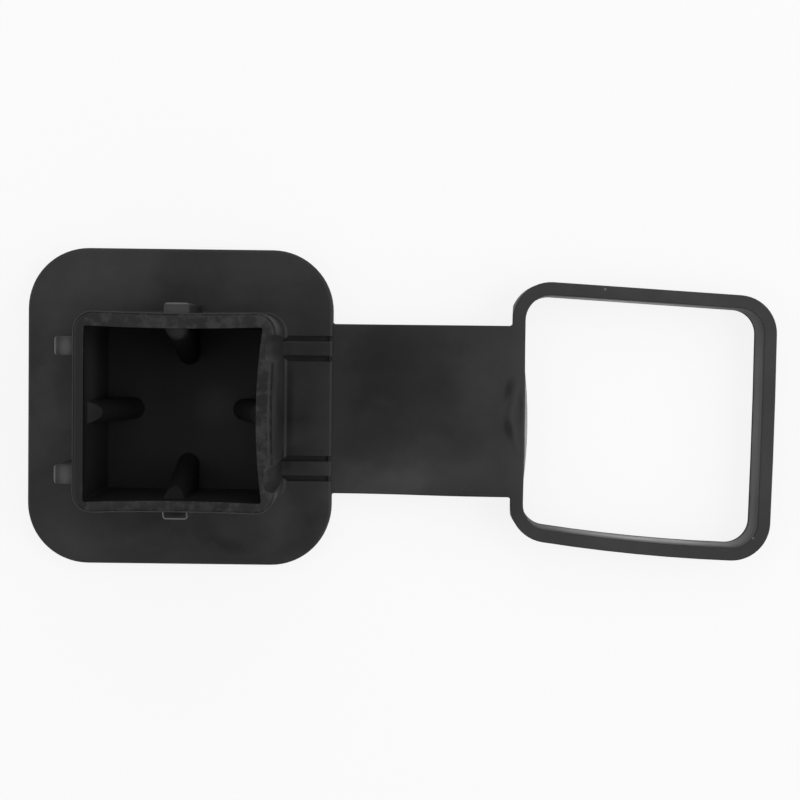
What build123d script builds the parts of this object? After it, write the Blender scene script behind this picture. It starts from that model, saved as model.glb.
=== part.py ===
from build123d import *
import os

# Rubber cover for a two-inch towing receiver, moulded in one piece. A cover plate carries a hollow plug on
# its back, and a flat strap joins the plate to a square ring that stretches round the receiver tube.
# X runs from the plug towards the ring, Y across the strap and Z out of the plug's mouth. The origin is
# on the receiver's axis, on the plate's show face, which lies on one plane with the ring's front edge.
# All sizes are in millimetres.

# Square bore of the receiver
bore_size = 50.8

# Cover plate
plate_length = 77.4
plate_width = 80.2
plate_thickness = 6.0
plate_corner_radius = 15.4
plate_front_radius = 2.2
plate_back_radius = 0.8

# Plug walls. The strap-side wall presses on the bore directly, the other walls through ribs, whose crests
# stand a little wider than the bore.
plug_length = 47.4
plug_width = 47.0
plug_height = 33.0
plug_corner_radius = 4.6
plug_base_radius = 0.9
rim_radius = 1.0
strap_wall_squeeze = 0.9

# The mouth has relaxed out of square: its corners flare and its sides sag inwards.
mouth_flare_strap = 0.9
mouth_flare_side = 0.4
mouth_sag_strap = 1.5
mouth_sag_side = 0.5

# Cavity of the plug, whose core stood a little off centre in the mould
wall_thickness = 3.15
core_shift = 0.45
floor_thickness = 5.0
cavity_corner_radius = 0.6

# Gussets inside the plug, one in the middle of each wall
gusset_width = 5.5
gusset_reach = 9.3
gusset_top_reach = 2.9
gusset_top_drop = 5.8
gusset_ramp_height = 4.2
gusset_root = 1.6

# Ribs outside the plug, each with a gentle ramp from its crest up to the wall
rib_crest_drop = 8.8
rib_ramp_rise = 1.2
rib_root = 1.5
rib_edge_radius = 0.8
rib_crown_bevel = 0.25
side_rib_width = 6.0
side_rib_height = 2.5
side_rib_offset = 0.4
far_rib_width = 4.6
far_rib_height = 5.9
far_rib_spacing = 30.8

# Two bands on the plate's back, each between a pair of grooves, and the hollows above them in the wall
band_spacing = 30.5
band_width = 3.8
band_rise = 0.5
band_edge_radius = 0.4
groove_width = 1.35
groove_depth = 1.5
hollow_rim_depth = 2.4
hollow_foot_depth = 0.3
hollow_corner_radius = 2.1

# Strap, which rises from the plate to the back edge of the ring
strap_width = 43.2
strap_length = 45.2
strap_thickness = 2.7
strap_step = 1.0
strap_edge_radius = 0.4
strap_corner_radius = 0.9
strap_corner_sink = 0.2

# Ring, hanging a little askew on its strap
ring_length = 66.5
ring_height = 64.9
ring_depth = 10.5
ring_wall = 3.3
ring_corner_radius = 9.7
ring_edge_radius = 0.4
ring_draft = 0.3
ring_top_droop = 3.8
ring_low_droop = 5.5
ring_lean = 1.0
ring_low_bow = 1.3
ring_far_bow = 0.3
ring_rise = 0.85
ring_roll = 0.8

# Swelling at the foot of the ring's near side, where the strap pulls on it
swell_length = 40.0
swell_thickness = 1.3
swell_top_thickness = 0.1
swell_offset = -4.0

# Places that follow from the sizes above
plate_edge = plate_length / 2
plug_top = plate_thickness + plug_height
plug_strap_side = bore_size / 2 + strap_wall_squeeze
plug_far_side = plug_strap_side - plug_length
plug_side = plug_width / 2
plug_middle = (plug_far_side + plug_strap_side) / 2
cavity_half_length = plug_length / 2 - wall_thickness
cavity_half_width = plug_side - wall_thickness
gusset_top = plug_top - gusset_top_drop
rib_crest = plug_top - rib_crest_drop
rib_top = rib_crest + rib_ramp_rise
strap_start = plate_thickness - strap_step
ring_near_side = plate_edge + strap_length
clearance = 1.0


def plug_outline(plane, low, high, radius, sags=(0, 0, 0)):
    """Rounded box between two corners. Its far, strap and long sides sag inwards by the sags."""
    far_sag, strap_sag, side_sag = sags
    corners = [low, (high[0], low[1]), high, (low[0], high[1])]
    with BuildSketch(plane) as outline:
        with BuildLine():
            for index, sag in enumerate((side_sag, strap_sag, side_sag, far_sag)):
                start, end = corners[index], corners[(index + 1) % 4]
                if sag:
                    SagittaArc(start, end, sag)
                else:
                    Line(start, end)
        make_face()
        fillet(outline.vertices(), radius)
    return outline.sketch


def ring_outline(plane, inset=0):
    """Outline of the skewed ring, moved inwards by the inset. The lower and far sides bow outwards."""
    ring_far_side = ring_near_side + ring_length
    top = ring_rise + ring_height / 2
    bottom = ring_rise - ring_height / 2
    with BuildSketch(plane) as outline:
        with BuildLine():
            near = Line((ring_near_side, top), (ring_near_side, bottom))
            low_corner = (ring_far_side - ring_lean, bottom - ring_low_droop)
            low = SagittaArc(near @ 1, low_corner, -ring_low_bow)
            far = SagittaArc(low @ 1, (ring_far_side, top - ring_top_droop), -ring_far_bow)
            Line(far @ 1, near @ 0)
        make_face()
        fillet(outline.vertices(), ring_corner_radius)
        if inset:
            offset(amount=-inset, mode=Mode.REPLACE)
    return outline.sketch


def swell_outline(plane, thickness):
    """Shallow segment on the inside of the ring's near side."""
    wall = ring_near_side + ring_wall
    low = swell_offset - swell_length / 2
    high = swell_offset + swell_length / 2
    with BuildSketch(plane) as outline:
        with BuildLine():
            Polyline((wall, high), (wall - clearance, high), (wall - clearance, low), (wall, low))
            ThreePointArc((wall, low), (wall + thickness, swell_offset), (wall, high))
        make_face()
    return outline.sketch


# One gusset on the strap side, with the cavity's axis as the origin: a bar with a round nose that leans
# back as it rises, under a ramp that cuts its head off.
with BuildPart() as gusset:
    nose = gusset_width / 2
    root = cavity_half_length + gusset_root
    foot_height = floor_thickness - clearance
    knee_height = gusset_top - gusset_ramp_height
    lean = (gusset_reach - gusset_top_reach) / (knee_height - floor_thickness)
    tip = cavity_half_length - gusset_reach - lean * clearance
    bar_length = 2 * (root - tip)
    with BuildSketch(Plane(origin=(tip, 0, foot_height), x_dir=(1, 0, -lean), z_dir=(lean, 0, 1))):
        with BuildLine():
            bar = Polyline((nose, nose), (bar_length, nose), (bar_length, -nose), (nose, -nose))
            ThreePointArc(bar @ 1, (0, 0), bar @ 0)
        make_face()
    extrude(amount=plug_top)
    with BuildSketch(Plane.XZ):
        ramp_slope = gusset_ramp_height / gusset_top_reach
        with BuildLine():
            Polyline(
                (tip - nose, foot_height + clearance / 2),
                (root, foot_height + clearance / 2),
                (root, gusset_top + ramp_slope * gusset_root),
                (tip - nose, gusset_top - ramp_slope * (cavity_half_length - tip + nose)),
                close=True,
            )
        make_face()
    extrude(amount=gusset_width, both=True, mode=Mode.INTERSECT)

# Rib on a long side, facing +Y
with BuildPart() as side_rib:
    with BuildSketch(Plane.YZ):
        crest = plug_side + side_rib_height
        with BuildLine():
            Polyline(
                (plug_side - rib_root, plate_thickness),
                (crest, plate_thickness),
                (crest, rib_crest),
                (plug_side - rib_root, rib_top + rib_ramp_rise * rib_root / side_rib_height),
                close=True,
            )
        make_face()
    extrude(amount=side_rib_width / 2, both=True)
    fillet(side_rib.faces().sort_by(Axis.Y)[-1].edges().filter_by(Axis.Z), rib_edge_radius)
    chamfer(side_rib.faces().sort_by(Axis.Z)[-1].edges(), rib_crown_bevel)

# Rib on the far side, facing -X
with BuildPart() as far_rib:
    with BuildSketch(Plane.XZ):
        crest = plug_far_side - far_rib_height
        with BuildLine():
            Polyline(
                (plug_far_side + rib_root, plate_thickness),
                (crest, plate_thickness),
                (crest, rib_crest),
                (plug_far_side + rib_root, rib_top + rib_ramp_rise * rib_root / far_rib_height),
                close=True,
            )
        make_face()
    extrude(amount=far_rib_width / 2, both=True)
    fillet(far_rib.faces().sort_by(Axis.X)[0].edges().filter_by(Axis.Z), rib_edge_radius)
    chamfer(far_rib.faces().sort_by(Axis.Z)[-1].edges(), rib_crown_bevel)

# Hollow cut down the strap-side wall, deepest at the rim
with BuildPart() as hollow:
    hollow_slope = (hollow_rim_depth - hollow_foot_depth) / plug_height
    with BuildSketch(Plane.XZ):
        clear_of_wall = plug_strap_side + plug_corner_radius
        with BuildLine():
            Polyline(
                (plug_strap_side - hollow_foot_depth, plate_thickness),
                (plug_strap_side - hollow_rim_depth - hollow_slope * clearance, plug_top + clearance),
                (clear_of_wall, plug_top + clearance),
                (clear_of_wall, plate_thickness),
                close=True,
            )
        make_face()
    extrude(amount=band_width / 2 + groove_width, both=True)
    hollow_back = hollow.faces().sort_by(Axis.X)[0]
    fillet(hollow_back.edges().filter_by(Axis.Y, reverse=True), hollow_corner_radius)

# Band on the plate's back, from its foot inside the plug's wall to the plate's edge
with BuildPart() as band:
    band_start = plug_strap_side - wall_thickness / 2
    band_run = plate_edge - plate_back_radius - band_start
    band_depth = plate_thickness / 2
    Box(band_run, band_width, band_depth + band_rise, align=(Align.MIN, Align.CENTER, Align.MIN))
    fillet(band.faces().sort_by(Axis.Z)[-1].edges().filter_by(Axis.X), band_edge_radius)

# Strap: an even sheet that rises in two equal bends and flares a little where it meets plate and ring
with BuildPart() as strap:
    foot_height = strap_start - strap_thickness / 2
    head_height = ring_depth - strap_thickness / 2
    strap_middle = (plate_edge + strap_length / 2, (foot_height + head_height) / 2)
    with BuildSketch(Plane.XZ):
        with BuildLine():
            foot_run = Line((plate_edge - clearance, foot_height), (plate_edge, foot_height))
            first_bend = TangentArc(foot_run @ 1, strap_middle, tangent=foot_run % 1)
            second_bend = TangentArc(strap_middle, (ring_near_side, head_height), tangent=first_bend % 1)
            Line(second_bend @ 1, (ring_near_side + clearance, head_height))
        trace(line_width=strap_thickness)
    extrude(amount=strap_width / 2 + strap_corner_radius, both=True)
    with BuildSketch():
        side = strap_width / 2
        flare = side + strap_corner_radius
        foot_end = plate_edge - strap_corner_sink
        head_end = ring_near_side + strap_corner_sink
        with BuildLine():
            foot = Polyline((plate_edge - clearance, 0), (plate_edge - clearance, flare), (foot_end, flare))
            foot_flare = TangentArc((foot_end + strap_corner_radius, side), foot @ 1, tangent=(-1, 0))
            edge = Line(foot_flare @ 0, (head_end - strap_corner_radius, side))
            head_flare = TangentArc(edge @ 1, (head_end, flare), tangent=(1, 0))
            Polyline(head_flare @ 1, (ring_near_side + clearance, flare), (ring_near_side + clearance, 0))
            mirror(about=Plane.XZ)
        make_face()
    extrude(amount=ring_depth, mode=Mode.INTERSECT)
    back_faces = strap.faces().filter_by(lambda face: face.normal_at().Z > 0.5)
    fillet(back_faces.edges().filter_by(Axis.Y, reverse=True), strap_edge_radius)

# Ring with a drafted inside. The strap's pull has rolled its near side, whose outside leans inwards.
with BuildPart() as ring:
    extrude(ring_outline(Plane.XY), amount=ring_depth)
    ring_front = ring_outline(Plane.XY, ring_wall + ring_draft)
    ring_back = ring_outline(Plane.XY.offset(ring_depth), ring_wall)
    loft([ring_front, ring_back], mode=Mode.SUBTRACT)
    fillet(ring.faces().sort_by(Axis.Z)[-1].edges(), ring_edge_radius)
    roll_height = ring_depth - 2 * ring_edge_radius
    with BuildSketch(Plane.XZ):
        with BuildLine():
            Polyline(
                (ring_near_side, roll_height),
                (ring_near_side + ring_roll, 0),
                (ring_near_side - clearance, 0),
                (ring_near_side - clearance, roll_height),
                close=True,
            )
        make_face()
    extrude(amount=ring_height, both=True, mode=Mode.SUBTRACT)
    swell_foot = swell_outline(Plane.XY, swell_thickness + ring_draft)
    swell_head = swell_outline(Plane.XY.offset(ring_depth - ring_edge_radius), swell_top_thickness)
    loft([swell_foot, swell_head])

with BuildPart() as receiver_cover:
    # Cover plate with a rounded show face
    with BuildSketch():
        RectangleRounded(plate_length, plate_width, plate_corner_radius)
    extrude(amount=plate_thickness)
    fillet(receiver_cover.faces().sort_by(Axis.Z)[0].edges(), plate_front_radius)
    fillet(receiver_cover.faces().sort_by(Axis.Z)[-1].edges(), plate_back_radius)

    # Outside of the plug, square at the plate and out of square at the mouth
    back = Plane.XY.offset(plate_thickness)
    mouth = Plane.XY.offset(plug_top)
    plug_foot = plug_outline(
        back, (plug_far_side, -plug_side), (plug_strap_side, plug_side), plug_corner_radius
    )
    plug_rim = plug_outline(
        mouth,
        (plug_far_side, -plug_side - mouth_flare_side),
        (plug_strap_side + mouth_flare_strap, plug_side + mouth_flare_side),
        plug_corner_radius,
        (0, mouth_sag_strap, mouth_sag_side),
    )
    loft([plug_foot, plug_rim])
    back_face = receiver_cover.faces().filter_by(Axis.Z).sort_by(Axis.Z)[-2]
    fillet(back_face.inner_wires().edges(), plug_base_radius)
    fillet(receiver_cover.faces().sort_by(Axis.Z)[-1].edges(), rim_radius)

    # Ribs on the long sides and on the far side
    with Locations(
        Location((plug_middle - side_rib_offset, 0, 0)),
        Location((plug_middle - side_rib_offset, 0, 0), (0, 0, 180)),
    ):
        add(side_rib.part)
    with Locations((0, far_rib_spacing / 2, 0), (0, -far_rib_spacing / 2, 0)):
        add(far_rib.part)

    # Hollows, grooves and bands on the strap side
    with Locations((0, band_spacing / 2, 0), (0, -band_spacing / 2, 0)):
        add(hollow.part, mode=Mode.SUBTRACT)
        groove_start = plug_strap_side - hollow_foot_depth
        groove_side = (band_width + groove_width) / 2
        with Locations(
            (groove_start, groove_side, plate_thickness),
            (groove_start, -groove_side, plate_thickness),
        ):
            Box(
                plate_edge - groove_start,
                groove_width,
                groove_depth,
                align=(Align.MIN, Align.CENTER, Align.MAX),
                mode=Mode.SUBTRACT,
            )
        with Locations((band_start, 0, plate_thickness - band_depth)):
            add(band.part)

    # Cavity and its gussets
    floor_outline = plug_outline(
        Plane.XY.offset(floor_thickness),
        (plug_middle - core_shift - cavity_half_length, -core_shift - cavity_half_width),
        (plug_middle - core_shift + cavity_half_length, -core_shift + cavity_half_width),
        cavity_corner_radius,
    )
    mouth_outline = plug_outline(
        mouth,
        (plug_middle - core_shift - cavity_half_length, -core_shift - cavity_half_width - mouth_flare_side),
        (
            plug_middle - core_shift + cavity_half_length + mouth_flare_strap,
            -core_shift + cavity_half_width + mouth_flare_side,
        ),
        cavity_corner_radius,
        (0, mouth_sag_strap, mouth_sag_side),
    )
    loft([floor_outline, mouth_outline], mode=Mode.SUBTRACT)
    with Locations((plug_middle - core_shift, -core_shift, 0)):
        with PolarLocations(0, 4):
            add(gusset.part)

    # Strap and ring
    add(ring.part)
    add(strap.part)

receiver_cover.part.label = "receiver_cover"

os.makedirs("parts", exist_ok=True)
export_step(receiver_cover.part, "parts/receiver_cover.step")
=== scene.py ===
import math

import bmesh
import bpy
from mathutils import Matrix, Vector


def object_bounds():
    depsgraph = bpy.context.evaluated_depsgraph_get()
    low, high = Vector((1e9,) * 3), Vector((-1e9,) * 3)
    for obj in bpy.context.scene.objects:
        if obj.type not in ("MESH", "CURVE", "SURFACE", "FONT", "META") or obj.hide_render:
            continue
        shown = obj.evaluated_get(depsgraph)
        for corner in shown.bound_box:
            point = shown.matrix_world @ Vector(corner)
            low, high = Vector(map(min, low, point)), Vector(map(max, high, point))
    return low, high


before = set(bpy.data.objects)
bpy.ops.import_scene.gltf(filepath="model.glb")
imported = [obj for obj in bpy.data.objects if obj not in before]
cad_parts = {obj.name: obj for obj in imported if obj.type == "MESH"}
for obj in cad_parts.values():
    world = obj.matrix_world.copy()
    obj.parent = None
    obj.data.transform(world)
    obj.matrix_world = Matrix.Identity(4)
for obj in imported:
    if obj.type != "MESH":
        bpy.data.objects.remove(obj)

bl_info = {
    "name": "Hitch receiver cover",
    "version": (1, 0, 0),
    "blender": (4, 5, 0),
    "location": "3D View > Sidebar > Receiver cover",
    "description": "Rubber finish, floor, lamps and camera for a one-piece hitch receiver cover",
    "category": "Object",
}

CAD_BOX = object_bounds()
MM = 0.001

# All places below are in millimetres, in the frame of the part. A pair of heights or distances says
# where a look starts and where it is full.

# Inside of the plug, and how much of the bloom it lacks, which paints shade into the hollow
CAVITY_MIDDLE = (2.15, -0.45, 20.3)
CAVITY_HALF = (22.4, 22.0, 18.3)
CAVITY_SOFTNESS = 1.5
CAVITY_PAINTED_SHADE = 0.8

# Heights of the plug's rim and of its rounded edge's two sides, places along x of the ring's start,
# and heights of the ring's front edge and of the streaks below its back edge
RIM_HEIGHTS = (37.6, 38.3)
EDGE_RISE = (37.6, 38.0)
EDGE_FALL = (38.97, 38.82)
RING_START = (82.0, 87.0)
FOOT_HEIGHTS = (1.8, 0.9)
STREAK_HEIGHTS = (10.3, 9.9)

# V-shaped kink where the strap pulls on the ring's wall
KINK_TIP = (83.5, -0.8)
KINK_SLOPE = 0.21
KINK_WIDTH = 1.3
KINK_REACH = (12.0, 4.0)

# Noise patterns: features per millimetre, detail and roughness
FLOW_NOISE = (0.022, 3.0, 0.5)
CLOUD_NOISE = (0.085, 4.0, 0.55)
BLOTCH_NOISE = (0.45, 3.0, 0.6)
FINE_NOISE = (1.6, 3.0, 0.65)
GRAIN_NOISE = (3.4, 2.0, 0.6)
RAGGED_NOISE = (0.06, 4.0, 0.5)
STREAK_NOISE = (0.9, 3.0, 0.5)
WAVE_NOISE = (0.09, 2.0, 0.5)

# Parts of the patterns that are used, from none to full
FLOW_RANGE = (0.35, 0.68)
CLOUD_RANGE = (0.32, 0.7)
SCUFF_RANGE = (0.46, 0.64)
STREAK_RANGE = (0.4, 0.62)

# Turn of the flow marks in degrees, their squeeze and the streaks' along the axes, and how far the
# borders of the patches wander
FLOW_TURN = 38.0
FLOW_SQUEEZE = (1.0, 3.2, 1.0)
STREAK_SQUEEZE = (0.12, 0.12, 1.0)
RAGGED_REACH = (22.0, 22.0, 0.0)

# Bloom before the patches are added, and how much of it each pattern and the ring add; the
# ring's share is a painted reflection, paler where the lamps reflect off the ring
BLOOM_START = 0.04
FLOW_BLOOM = 0.2
RING_PAINTED_LIGHT = 0.36
CLOUD_BLOOM = 0.26
BLOTCH_BLOOM = 0.24
FINE_BLOOM = 0.14

# Bloom that a scuff adds to the rim, and bloom between the scuffs
SCUFF_BLOOM = 0.6
RIM_BLOOM = -0.28

# How much smoother and duller the streaks are, and how much duller the ring's front edge
STREAK_SMOOTHING = 0.11
STREAK_DULLING = 0.35
FOOT_DULLING = 0.95

# Share of a patch's half size within which it is full
PATCH_CORE = 0.15

# Soft patches of painted light and shade: paler patches paint reflections, darker ones paint shade.
# Middle and half sizes, turn in degrees, and how much paler (or darker, below nought) the patch is
PAINTED_LIGHT_PATCHES = (
    ((-22.0, 32.0, 5.0), (30.0, 15.0, 20.0), 20.0, 0.6),
    ((-33.0, -2.0, 5.0), (10.0, 34.0, 20.0), 0.0, 0.95),
    ((-26.0, -33.0, 5.0), (18.0, 9.0, 20.0), 0.0, 0.4),
    ((4.0, 34.0, 5.0), (19.0, 9.0, 20.0), 35.0, -0.1),
    ((6.0, -36.0, 5.0), (20.0, 7.0, 20.0), -4.0, -0.12),
    ((32.0, 4.0, 6.0), (10.0, 26.0, 20.0), 0.0, -0.24),
    ((53.0, 9.0, 8.0), (24.0, 18.0, 20.0), -24.0, -0.4),
    ((64.0, -17.0, 8.0), (30.0, 10.0, 20.0), 8.0, 0.5),
    ((52.0, -17.5, 7.0), (16.0, 9.0, 20.0), 6.0, 0.6),
    ((32.0, -15.0, 6.0), (8.0, 8.0, 20.0), 0.0, -0.35),
    ((12.0, -33.0, 6.0), (9.0, 5.0, 20.0), 0.0, -0.35),
    ((-8.0, 30.5, 5.0), (18.0, 8.0, 20.0), 36.0, -0.18),
    ((32.0, -29.0, 5.0), (8.0, 16.0, 20.0), -16.0, -0.32),
    ((25.5, -27.0, 5.0), (8.0, 9.0, 20.0), 0.0, 0.45),
    ((-36.0, 14.5, 5.0), (5.0, 9.0, 20.0), 0.0, -0.3),
    ((-34.0, -19.5, 5.0), (8.0, 5.0, 20.0), 0.0, -0.3),
    ((-13.0, -29.5, 5.0), (17.0, 5.5, 20.0), 4.0, -0.2),
    ((118.0, 32.0, 10.5), (48.0, 12.0, 20.0), -3.0, 0.5),
    ((149.0, 2.0, 10.5), (10.0, 44.0, 20.0), 0.0, 0.45),
    ((118.0, -34.0, 10.5), (44.0, 10.0, 20.0), -3.0, 0.2),
    ((78.0, 8.0, 9.0), (12.0, 19.0, 20.0), 0.0, 0.32),
)

# Patches like those above, with crisp borders: darker on the plug's rim, painted light on the crowns
# of the top and side ribs, painted shade on the bottom rib's crown, and painted shade in the crease
# beside the kink
CRISP_PATCHES = (
    ((-20.0, -4.0, 38.5), (4.5, 38.0, 4.0), 0.0, -1.15),
    ((6.0, -24.0, 38.5), (30.0, 4.5, 4.0), 0.0, -0.2),
    ((26.0, 0.0, 38.5), (5.0, 26.0, 4.0), 0.0, -0.25),
    ((2.2, 25.0, 31.0), (8.0, 4.0, 2.5), 0.0, 0.9),
    ((2.2, -25.0, 31.0), (8.0, 4.0, 2.5), 0.0, -0.5),
    ((-24.5, 15.4, 31.0), (4.5, 5.0, 2.5), 0.0, 1.25),
    ((-24.5, -15.4, 31.0), (4.5, 5.0, 2.5), 0.0, 1.3),
    ((83.2, 5.6, 10.5), (1.6, 4.2, 4.0), -14.0, -0.6),
    ((83.2, -4.2, 10.5), (1.5, 4.0, 4.0), 14.0, -0.65),
    ((86.3, 0.6, 10.5), (1.1, 7.0, 4.0), 0.0, -0.45),
)

# Share of pale rubber where the bloom is 1
PALE_SHARE = 0.565

# Smoother places: middle and half sizes, how much less rough they are and how much more they shine.
# They are on the ribs, on two sides of the rim's edge, on the strap-side wall, on a gusset's ramp,
# on the cavity's floor (a disc) and on the insides of the ring.
SMOOTH_PLACES = (
    ((2.2, -25.95, 30.1), (8.0, 0.6, 0.8), 0.4, 1.5),
    ((-0.75, -24.8, 30.6), (0.6, 2.4, 1.2), 0.4, 1.5),
    ((5.15, -24.8, 30.6), (0.6, 2.4, 1.2), 0.4, 1.5),
    ((2.2, -24.3, 31.0), (5.0, 1.6, 1.5), 0.0, -0.6),
    ((2.2, 25.95, 30.1), (8.0, 0.7, 0.8), 0.35, 1.2),
    ((2.2, 24.5, 31.0), (6.0, 2.0, 2.0), 0.0, 0.25),
    ((-26.9, 15.4, 30.1), (0.7, 6.0, 0.9), 0.35, 1.3),
    ((-26.9, -15.4, 30.1), (0.7, 6.0, 0.9), 0.35, 1.3),
    ((-24.3, 15.0, 30.9), (2.2, 4.0, 2.0), 0.1, 1.1),
    ((-24.3, -15.8, 30.9), (2.2, 4.0, 2.0), 0.1, 1.1),
    ((-21.0, -0.5, 38.6), (1.6, 34.0, 1.6), 0.0, -0.15),
    ((2.1, 23.4, 38.6), (34.0, 1.6, 1.6), 0.0, -0.15),
    ((27.8, 0.0, 23.0), (2.6, 26.0, 18.0), 0.0, -0.75),
    ((27.6, 0.0, 6.5), (2.0, 22.0, 1.6), 0.0, -0.6),
    ((2.6, 19.5, 31.5), (4.0, 3.5, 4.0), 0.0, 0.6),
    ((8.4, 0.4, 5.0), (7.6, 7.6, 5.0), 0.0, 0.4),
    ((88.2, -4.0, 4.0), (3.0, 28.0, 7.0), 0.35, 0.4),
    ((116.0, -32.5, 4.0), (44.0, 8.0, 7.5), 0.38, 0.5),
    ((116.0, 29.0, 4.0), (40.0, 6.0, 7.0), 0.3, 0.2),
    ((147.5, -4.0, 4.0), (5.0, 44.0, 7.0), 0.12, 0.1),
)

# Painted shade deep in the plug, which is blacker and shines less there: middle and half sizes, and
# how much
PAINTED_SHADE_PLACE = ((6.0, 21.0, 6.0), (46.0, 22.0, 24.0))
PAINTED_SHADE_AMOUNT = 0.4

# Patches inside the plug that are a little paler: on its floor, on a gusset's ramp (painted light
# where the ramp is lit) and on the far wall
CAVITY_PATCHES = (
    ((1.0, -7.0, 5.0), (30.0, 26.0, 6.0), 0.0, 0.16),
    ((3.0, 18.8, 31.0), (4.5, 3.5, 5.0), 0.0, 0.7),
    ((-19.5, 9.0, 28.0), (4.0, 17.0, 17.0), 0.0, 0.35),
)

# Specks of dust
SPECKS = ((43.4, 7.9, 5.6), (107.0, 31.1, 10.5), (145.3, -31.1, 10.5), (24.6, -14.2, 38.4))
SPECK_RADIUS = 0.4

# Drop of the floor below the part, and the camera's sensor and nearest distance
FLOOR_DROP = 0.1 * MM
SENSOR_WIDTH = 36.0
CLIP_START = 0.01


class CoverRubber(bpy.types.PropertyGroup):
    """Black satin rubber of the moulding."""

    # Painted shade: this black is blended into the colour deep in the plug
    black: bpy.props.FloatVectorProperty(
        name="Black rubber",
        description="Colour of the rubber deep in the plug",
        subtype="COLOR",
        size=3,
        min=0.0,
        max=1.0,
        default=(0.0008, 0.0008, 0.0009),
    )
    dark: bpy.props.FloatVectorProperty(
        name="Dark rubber",
        description="Colour of the rubber where the mould has left it smooth",
        subtype="COLOR",
        size=3,
        min=0.0,
        max=1.0,
        default=(0.0045, 0.0045, 0.005),
    )
    # The patches of painted light and shade also blend towards this pale colour
    pale: bpy.props.FloatVectorProperty(
        name="Pale rubber",
        description="Colour of the rubber where flow marks and handling have dulled it",
        subtype="COLOR",
        size=3,
        min=0.0,
        max=1.0,
        default=(0.055, 0.055, 0.0575),
    )
    dust: bpy.props.FloatVectorProperty(
        name="Dust",
        description="Colour of the specks of dust on the rubber",
        subtype="COLOR",
        size=3,
        min=0.0,
        max=1.0,
        default=(0.2, 0.198, 0.194),
    )
    smoothest: bpy.props.FloatProperty(
        name="Least roughness",
        description="Roughness of the smoothest patches",
        subtype="FACTOR",
        min=0.0,
        max=1.0,
        default=0.5,
    )
    roughest: bpy.props.FloatProperty(
        name="Most roughness",
        description="Roughness of the dullest patches",
        subtype="FACTOR",
        min=0.0,
        max=1.0,
        default=0.76,
    )
    edge_dullness: bpy.props.FloatProperty(
        name="Dullness of the rim's edge",
        description="How much less the rounded edge of the plug's rim shines",
        subtype="FACTOR",
        min=0.0,
        max=1.0,
        default=0.5,
    )
    sheen: bpy.props.FloatProperty(
        name="Specular level",
        description="Strength of the satin reflection",
        subtype="FACTOR",
        min=0.0,
        max=1.0,
        default=0.42,
    )
    grain_depth: bpy.props.FloatProperty(
        name="Grain depth",
        description="Depth of the fine grain of the mould's steel",
        subtype="DISTANCE",
        unit="LENGTH",
        default=0.006 * MM,
    )
    scuff_depth: bpy.props.FloatProperty(
        name="Scuff depth",
        description="Depth of the scuffs and blotches",
        subtype="DISTANCE",
        unit="LENGTH",
        default=0.03 * MM,
    )
    wave_depth: bpy.props.FloatProperty(
        name="Wave depth",
        description="Depth of the shallow waves in the flat faces",
        subtype="DISTANCE",
        unit="LENGTH",
        default=0.12 * MM,
    )
    kink_depth: bpy.props.FloatProperty(
        name="Kink depth",
        description="Depth of the kink where the strap pulls on the ring",
        subtype="DISTANCE",
        unit="LENGTH",
        default=0.2 * MM,
    )


class StudioStage(bpy.types.PropertyGroup):
    """Floor, lamps and camera."""

    camera_place: bpy.props.FloatVectorProperty(
        name="Camera place",
        description="Where the camera stands, nearly straight above the strap",
        subtype="TRANSLATION",
        unit="LENGTH",
        size=3,
        default=(55.7 * MM, 17.7 * MM, 427.0 * MM),
    )
    camera_tilt: bpy.props.FloatProperty(
        name="Camera tilt",
        description="How far the camera leans from looking straight down",
        subtype="ANGLE",
        unit="ROTATION",
        default=math.radians(-2.07),
    )
    camera_roll: bpy.props.FloatProperty(
        name="Camera roll",
        description="Turn of the camera about its line of sight",
        subtype="ANGLE",
        unit="ROTATION",
        default=math.radians(0.7),
    )
    lens: bpy.props.FloatProperty(
        name="Lens",
        description="Focal length of the lens on a 36 mm sensor, in millimetres",
        default=74.6,
    )
    floor_size: bpy.props.FloatProperty(
        name="Floor size",
        description="Side of the square floor",
        subtype="DISTANCE",
        unit="LENGTH",
        default=6.0,
    )
    floor_colour: bpy.props.FloatVectorProperty(
        name="Floor colour",
        description="Colour of the floor",
        subtype="COLOR",
        size=3,
        min=0.0,
        max=1.0,
        default=(0.9, 0.9, 0.9),
    )
    floor_glow: bpy.props.FloatProperty(
        name="Floor glow",
        description="Share of plain white in the floor as the camera and reflections see it",
        subtype="FACTOR",
        min=0.0,
        max=1.0,
        default=0.85,
    )
    room_level: bpy.props.FloatProperty(
        name="Room level",
        description="Strength of the even light from the room",
        default=0.22,
    )
    lamp_size: bpy.props.FloatProperty(
        name="Lamp size",
        description="Side of each square soft lamp",
        subtype="DISTANCE",
        unit="LENGTH",
        default=0.75,
    )
    lamp_height: bpy.props.FloatProperty(
        name="Lamp height",
        description="Height of the soft lamps above the floor",
        subtype="DISTANCE",
        unit="LENGTH",
        default=0.6,
    )
    lamp_reach: bpy.props.FloatProperty(
        name="Lamp reach",
        description="Distance of the soft lamps from the middle of the object, seen from above",
        subtype="DISTANCE",
        unit="LENGTH",
        default=0.7,
    )
    ring_lamp: bpy.props.FloatProperty(
        name="Ring-side lamp",
        description="Power of the soft lamp on the ring's side",
        unit="POWER",
        default=4.4,
    )
    plug_lamp: bpy.props.FloatProperty(
        name="Plug-side lamp",
        description="Power of the soft lamp on the plug's side",
        unit="POWER",
        default=2.2,
    )
    back_lamp: bpy.props.FloatProperty(
        name="Back lamp",
        description="Power of the soft lamp behind the object",
        unit="POWER",
        default=2.2,
    )
    front_lamp: bpy.props.FloatProperty(
        name="Front lamp",
        description="Power of the soft lamp in front of the object",
        unit="POWER",
        default=0.8,
    )


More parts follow.
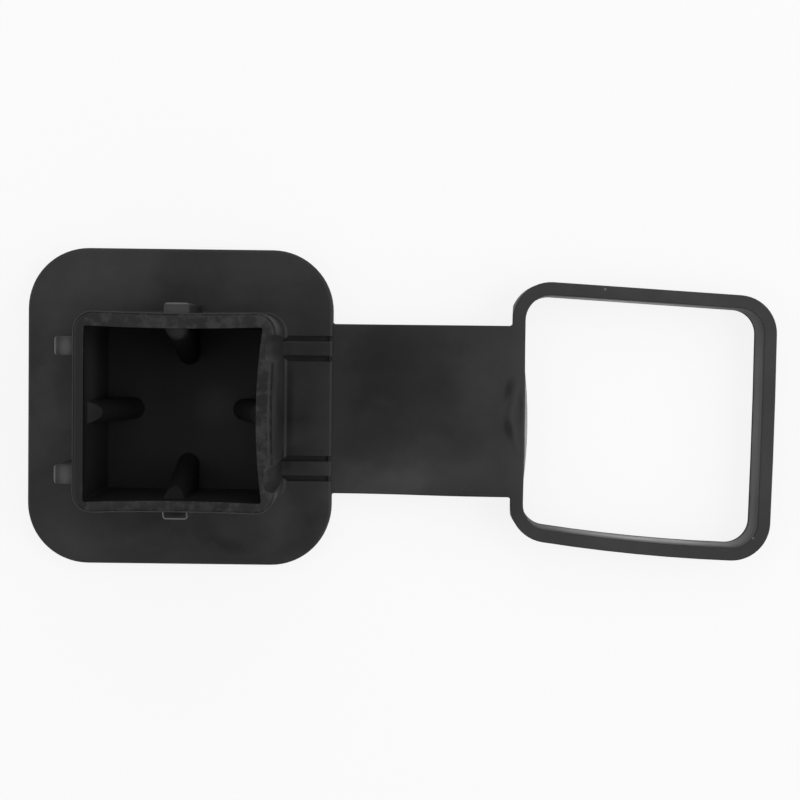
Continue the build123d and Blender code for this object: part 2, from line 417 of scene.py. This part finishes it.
def add_node(tree, kind, settings=(), **values):
    """New shader node with its settings and its inputs' values. An input takes a value or a socket."""
    node = tree.nodes.new(kind)
    for name, value in dict(settings).items():
        setattr(node, name, value)
    for name, value in values.items():
        socket = node.inputs[name.replace("_", " ")]
        if isinstance(value, bpy.types.NodeSocket):
            tree.links.new(value, socket)
        else:
            socket.default_value = value
    return node


def math_node(tree, operation, first, second=0.0, third=0.0, clamp=False):
    """Result of one sum on up to three values or sockets."""
    node = tree.nodes.new("ShaderNodeMath")
    node.operation = operation
    node.use_clamp = clamp
    for socket, value in zip(node.inputs, (first, second, third)):
        if isinstance(value, bpy.types.NodeSocket):
            tree.links.new(value, socket)
        else:
            socket.default_value = value
    return node.outputs["Value"]


def spread(tree, value, low, high):
    """Value stretched so that low becomes 0 and high becomes 1, with soft ends."""
    node = add_node(tree, "ShaderNodeMapRange", {"interpolation_type": "SMOOTHSTEP"}, Value=value)
    node.inputs["From Min"].default_value = low
    node.inputs["From Max"].default_value = high
    return node.outputs["Result"]


def noise(tree, place, pattern, output="Fac"):
    """Noise pattern of a scale, detail and roughness."""
    scale, detail, roughness = pattern
    node = add_node(
        tree, "ShaderNodeTexNoise", Vector=place, Scale=scale, Detail=detail, Roughness=roughness
    )
    return node.outputs[output]


def patch(tree, place, middle, half, turn=0.0):
    """Soft round patch: 1 in its middle and 0 past its half sizes."""
    local = add_node(tree, "ShaderNodeMapping", {"vector_type": "TEXTURE"}, Vector=place)
    local.inputs["Location"].default_value = middle
    local.inputs["Rotation"].default_value = (0.0, 0.0, math.radians(turn))
    local.inputs["Scale"].default_value = half
    length = tree.nodes.new("ShaderNodeVectorMath")
    length.operation = "LENGTH"
    tree.links.new(local.outputs["Vector"], length.inputs[0])
    return spread(tree, length.outputs["Value"], 1.0, PATCH_CORE)


def add_patches(tree, place, patches, value):
    """Value with the amount of each patch added in its place."""
    for middle, half, turn, amount in patches:
        share = patch(tree, place, middle, half, turn)
        value = math_node(tree, "MULTIPLY_ADD", share, amount, value)
    return value


def inside_box(tree, place, middle, half, softness):
    """1 inside a box and 0 outside it, with soft sides."""
    local = add_node(tree, "ShaderNodeMapping", {"vector_type": "TEXTURE"}, Vector=place)
    local.inputs["Location"].default_value = middle
    sides = add_node(tree, "ShaderNodeSeparateXYZ", Vector=local.outputs["Vector"])
    share = 1.0
    for name, reach in zip("XYZ", half):
        away = math_node(tree, "ABSOLUTE", sides.outputs[name])
        share = math_node(tree, "MULTIPLY", spread(tree, away, reach, reach - softness), share)
    return share


def blend_colours(tree, share, first, second):
    """Mix of two colours by a share."""
    node = tree.nodes.new("ShaderNodeMix")
    node.data_type = "RGBA"
    tree.links.new(share, node.inputs["Factor"])
    for name, value in (("A", first), ("B", second)):
        socket = next(s for s in node.inputs if s.name == name and s.type == "RGBA")
        if isinstance(value, bpy.types.NodeSocket):
            tree.links.new(value, socket)
        else:
            socket.default_value = (*value, 1.0)
    return next(s for s in node.outputs if s.type == "RGBA")


def kink(tree, place):
    """Height of the kink where the strap pulls on the ring's wall: a V-shaped fold."""
    sides = add_node(tree, "ShaderNodeSeparateXYZ", Vector=place)
    along = math_node(tree, "SUBTRACT", sides.outputs["X"], KINK_TIP[0])
    across = math_node(tree, "ABSOLUTE", math_node(tree, "SUBTRACT", sides.outputs["Y"], KINK_TIP[1]))
    fold = math_node(tree, "SUBTRACT", along, math_node(tree, "MULTIPLY", across, KINK_SLOPE))
    fold = spread(tree, math_node(tree, "ABSOLUTE", fold), KINK_WIDTH, 0.0)
    return math_node(tree, "MULTIPLY", fold, spread(tree, across, *KINK_REACH))


def rubber_material(look):
    """Satin black rubber with bloom, flow marks, scuffs on the rim, fine grain and specks of dust, and
    with painted light and shade in its colour.
    """
    material = bpy.data.materials.new("satin_black_rubber")
    material.use_nodes = True
    tree = material.node_tree
    tree.nodes.clear()
    metres = tree.nodes.new("ShaderNodeTexCoord").outputs["Object"]
    scaled = add_node(tree, "ShaderNodeMapping", Vector=metres)
    scaled.inputs["Scale"].default_value = (1.0 / MM,) * 3
    place = scaled.outputs["Vector"]
    sides = add_node(tree, "ShaderNodeSeparateXYZ", Vector=place)
    height = sides.outputs["Z"]
    ring = spread(tree, sides.outputs["X"], *RING_START)

    # Patterns at several scales. The flow marks lie askew across the moulding.
    flow_place = add_node(tree, "ShaderNodeMapping", Vector=place)
    flow_place.inputs["Rotation"].default_value = (0.0, 0.0, math.radians(FLOW_TURN))
    flow_place.inputs["Scale"].default_value = FLOW_SQUEEZE
    flow = spread(tree, noise(tree, flow_place.outputs["Vector"], FLOW_NOISE), *FLOW_RANGE)
    clouds = spread(tree, noise(tree, place, CLOUD_NOISE), *CLOUD_RANGE)
    blotches = noise(tree, place, BLOTCH_NOISE)
    fine = noise(tree, place, FINE_NOISE)

    # Bloom with painted light and shade, as the share of pale rubber, with ragged patches of painted
    # reflection and shade
    shift = add_node(tree, "ShaderNodeVectorMath", {"operation": "SUBTRACT"})
    tree.links.new(noise(tree, place, RAGGED_NOISE, "Color"), shift.inputs[0])
    shift.inputs[1].default_value = (0.5, 0.5, 0.5)
    shifted = add_node(tree, "ShaderNodeVectorMath", {"operation": "MULTIPLY_ADD"})
    tree.links.new(shift.outputs["Vector"], shifted.inputs[0])
    shifted.inputs[1].default_value = RAGGED_REACH
    tree.links.new(place, shifted.inputs[2])
    bloom_and_painted_light = math_node(tree, "MULTIPLY_ADD", flow, FLOW_BLOOM, BLOOM_START)
    bloom_and_painted_light = add_patches(tree, shifted.outputs["Vector"], PAINTED_LIGHT_PATCHES, bloom_and_painted_light)
    # The ring's share is a painted reflection; the other patterns are random tone of the rubber
    for share, amount in (
        (ring, RING_PAINTED_LIGHT),
        (clouds, CLOUD_BLOOM),
        (blotches, BLOTCH_BLOOM),
        (fine, FINE_BLOOM),
    ):
        bloom_and_painted_light = math_node(tree, "MULTIPLY_ADD", share, amount, bloom_and_painted_light)

    # Scuffs on the plug's rim
    rim = spread(tree, height, *RIM_HEIGHTS)
    scuffs = spread(tree, blotches, *SCUFF_RANGE)
    scuffs = math_node(tree, "MULTIPLY_ADD", scuffs, SCUFF_BLOOM, RIM_BLOOM)
    bloom_and_painted_light = math_node(tree, "MULTIPLY_ADD", rim, scuffs, bloom_and_painted_light)
    # Crisp patches: darker rim, painted light and shade on the ribs' crowns, painted shade beside the
    # kink
    bloom_and_painted_light = add_patches(tree, place, CRISP_PATCHES, bloom_and_painted_light)

    # Painted shade: the inside of the plug loses most of its bloom, so its colour is darker where
    # shade falls
    inside = inside_box(tree, place, CAVITY_MIDDLE, CAVITY_HALF, CAVITY_SOFTNESS)
    cavity_shade_factor = math_node(tree, "MULTIPLY_ADD", inside, -CAVITY_PAINTED_SHADE, 1.0)
    bloom_and_painted_light = math_node(tree, "MULTIPLY", bloom_and_painted_light, cavity_shade_factor)
    # Paler patches in the plug, the one on the gusset's ramp being painted light
    bloom_and_painted_light = add_patches(tree, place, CAVITY_PATCHES, bloom_and_painted_light)
    paleness = math_node(tree, "MULTIPLY", bloom_and_painted_light, PALE_SHARE, clamp=True)
    colour = blend_colours(tree, paleness, look.dark, look.pale)
    for speck in SPECKS:
        colour = blend_colours(tree, patch(tree, place, speck, (SPECK_RADIUS,) * 3), colour, look.dust)
    rough = tree.nodes.new("ShaderNodeMapRange")
    tree.links.new(bloom_and_painted_light, rough.inputs["Value"])
    rough.inputs["To Min"].default_value = look.smoothest
    rough.inputs["To Max"].default_value = look.roughest

    # Shine, weaker on the rim's rounded edge and deep in the plug, where painted shade also blends the
    # colour towards black
    edge = spread(tree, height, *EDGE_RISE)
    edge = math_node(tree, "MULTIPLY", edge, spread(tree, height, *EDGE_FALL))
    shine = math_node(tree, "MULTIPLY_ADD", edge, -look.edge_dullness, 1.0)
    painted_shade = math_node(tree, "MULTIPLY", patch(tree, place, *PAINTED_SHADE_PLACE), inside)
    painted_shade = math_node(tree, "MULTIPLY", painted_shade, PAINTED_SHADE_AMOUNT)
    shine = math_node(tree, "SUBTRACT", shine, painted_shade)
    colour = blend_colours(tree, painted_shade, colour, look.black)

    # Streaks along the ring's sides, smoother places, and the ring's dull front edge
    streak_place = add_node(tree, "ShaderNodeMapping", Vector=place)
    streak_place.inputs["Scale"].default_value = STREAK_SQUEEZE
    streaks = spread(tree, noise(tree, streak_place.outputs["Vector"], STREAK_NOISE), *STREAK_RANGE)
    streaks = math_node(tree, "MULTIPLY", streaks, ring)
    streaks = math_node(tree, "MULTIPLY", streaks, spread(tree, height, *STREAK_HEIGHTS))
    roughness = math_node(tree, "MULTIPLY_ADD", streaks, -STREAK_SMOOTHING, rough.outputs["Result"])
    for middle, half, smoother, shinier in SMOOTH_PLACES:
        share = patch(tree, place, middle, half)
        roughness = math_node(tree, "MULTIPLY_ADD", share, -smoother, roughness)
        shine = math_node(tree, "MULTIPLY_ADD", share, shinier, shine)
    foot = math_node(tree, "MULTIPLY", ring, spread(tree, height, *FOOT_HEIGHTS))
    for share, loss in ((foot, FOOT_DULLING), (streaks, STREAK_DULLING)):
        shine = math_node(tree, "MULTIPLY", shine, math_node(tree, "MULTIPLY_ADD", share, -loss, 1.0))
    shine = math_node(tree, "MULTIPLY", shine, look.sheen, clamp=True)

    # Relief: shallow waves, the kink at the ring, scuffs and the grain
    normal = None
    for relief, depth in (
        (noise(tree, place, WAVE_NOISE), look.wave_depth),
        (kink(tree, place), look.kink_depth),
        (blotches, look.scuff_depth),
        (noise(tree, place, GRAIN_NOISE), look.grain_depth),
    ):
        bump = add_node(tree, "ShaderNodeBump", Height=relief, Strength=1.0, Distance=depth)
        if normal:
            tree.links.new(normal, bump.inputs["Normal"])
        normal = bump.outputs["Normal"]

    shader = add_node(
        tree,
        "ShaderNodeBsdfPrincipled",
        Base_Color=colour,
        Roughness=roughness,
        Normal=normal,
        Specular_IOR_Level=shine,
    )
    output = tree.nodes.new("ShaderNodeOutputMaterial")
    tree.links.new(shader.outputs["BSDF"], output.inputs["Surface"])
    return material


def floor_material(stage):
    """Pale floor that shows white to the camera and in reflections, and keeps soft shadows."""
    material = bpy.data.materials.new("pale_floor")
    material.use_nodes = True
    tree = material.node_tree
    tree.nodes.clear()
    path = tree.nodes.new("ShaderNodeLightPath")
    seen = math_node(tree, "ADD", path.outputs["Is Camera Ray"], path.outputs["Is Glossy Ray"])
    seen = math_node(tree, "ADD", seen, path.outputs["Is Transmission Ray"], clamp=True)
    matt = add_node(tree, "ShaderNodeBsdfDiffuse", Color=(*stage.floor_colour, 1.0))
    white = add_node(tree, "ShaderNodeEmission", Color=(1.0, 1.0, 1.0, 1.0), Strength=1.0)
    mixed = tree.nodes.new("ShaderNodeMixShader")
    tree.links.new(math_node(tree, "MULTIPLY", seen, stage.floor_glow), mixed.inputs[0])
    tree.links.new(matt.outputs["BSDF"], mixed.inputs[1])
    tree.links.new(white.outputs["Emission"], mixed.inputs[2])
    output = tree.nodes.new("ShaderNodeOutputMaterial")
    tree.links.new(mixed.outputs["Shader"], output.inputs["Surface"])
    return material


def add_object(name, data):
    """New object in the scene."""
    made = bpy.data.objects.new(name, data)
    bpy.context.scene.collection.objects.link(made)
    return made


def add_lamp(name, side, stage, power):
    """Square soft lamp on one side of the object, facing its middle."""
    lamp = bpy.data.lights.new(name, "AREA")
    lamp.shape = "SQUARE"
    lamp.size = stage.lamp_size
    lamp.energy = power
    made = add_object(name, lamp)
    middle = (CAD_BOX[0] + CAD_BOX[1]) / 2
    reach = Vector((side[0] * stage.lamp_reach, side[1] * stage.lamp_reach, stage.lamp_height))
    made.location = middle + reach
    made.rotation_euler = (-reach).to_track_quat("-Z", "Y").to_euler()


class COVER_OT_rubber(bpy.types.Operator):
    """Give the moulding its satin black rubber"""

    bl_idname = "cover.rubber"
    bl_label = "Dress the moulding"

    def execute(self, context):
        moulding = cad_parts["receiver_cover"]
        if not moulding.material_slots:
            raise RuntimeError("The moulding has no material slot")
        material = rubber_material(context.scene.cover_rubber)
        for slot in moulding.material_slots:
            slot.material = material
        return {"FINISHED"}


class COVER_OT_stage(bpy.types.Operator):
    """Set out the floor, the lamps and the camera"""

    bl_idname = "cover.stage"
    bl_label = "Set the stage"

    def execute(self, context):
        stage = context.scene.cover_stage
        scene = context.scene

        shape = bmesh.new()
        bmesh.ops.create_grid(shape, x_segments=1, y_segments=1, size=stage.floor_size / 2)
        bmesh.ops.translate(shape, verts=shape.verts, vec=(0.0, 0.0, -FLOOR_DROP))
        mesh = bpy.data.meshes.new("floor")
        shape.to_mesh(mesh)
        shape.free()
        mesh.materials.append(floor_material(stage))
        add_object("floor", mesh)

        world = bpy.data.worlds.new("room")
        world.use_nodes = True
        tree = world.node_tree
        tree.nodes.clear()
        path = tree.nodes.new("ShaderNodeLightPath")
        strength = add_node(tree, "ShaderNodeMapRange", Value=path.outputs["Is Camera Ray"])
        strength.inputs["To Min"].default_value = stage.room_level
        strength.inputs["To Max"].default_value = 1.0
        light = add_node(
            tree,
            "ShaderNodeBackground",
            Color=(1.0, 1.0, 1.0, 1.0),
            Strength=strength.outputs["Result"],
        )
        output = tree.nodes.new("ShaderNodeOutputWorld")
        tree.links.new(light.outputs["Background"], output.inputs["Surface"])
        scene.world = world

        for name, side, power in (
            ("ring_lamp", (1, 0), stage.ring_lamp),
            ("plug_lamp", (-1, 0), stage.plug_lamp),
            ("back_lamp", (0, 1), stage.back_lamp),
            ("front_lamp", (0, -1), stage.front_lamp),
        ):
            add_lamp(name, side, stage, power)

        camera = add_object("camera", bpy.data.cameras.new("camera"))
        camera.data.sensor_width = SENSOR_WIDTH
        camera.data.lens = stage.lens
        camera.data.clip_start = CLIP_START
        camera.location = stage.camera_place
        camera.rotation_euler = (stage.camera_tilt, 0.0, stage.camera_roll)
        scene.camera = camera
        scene.view_settings.view_transform = "Standard"
        return {"FINISHED"}


class VIEW3D_PT_cover(bpy.types.Panel):
    """Steps of the receiver cover's looks"""

    bl_label = "Receiver cover"
    bl_idname = "VIEW3D_PT_cover"
    bl_space_type = "VIEW_3D"
    bl_region_type = "UI"
    bl_category = "Receiver cover"

    def draw(self, context):
        layout = self.layout
        for settings, operator in (
            (context.scene.cover_rubber, COVER_OT_rubber),
            (context.scene.cover_stage, COVER_OT_stage),
        ):
            box = layout.box()
            for name in settings.__annotations__:
                box.prop(settings, name)
            box.operator(operator.bl_idname)


CLASSES = (CoverRubber, StudioStage, COVER_OT_rubber, COVER_OT_stage, VIEW3D_PT_cover)


def register():
    for made in CLASSES:
        bpy.utils.register_class(made)
    bpy.types.Scene.cover_rubber = bpy.props.PointerProperty(type=CoverRubber)
    bpy.types.Scene.cover_stage = bpy.props.PointerProperty(type=StudioStage)


def unregister():
    del bpy.types.Scene.cover_stage
    del bpy.types.Scene.cover_rubber
    for made in reversed(CLASSES):
        bpy.utils.unregister_class(made)


def main():
    register()
    bpy.ops.cover.rubber()
    bpy.ops.cover.stage()


if __name__ == "__main__":
    main()
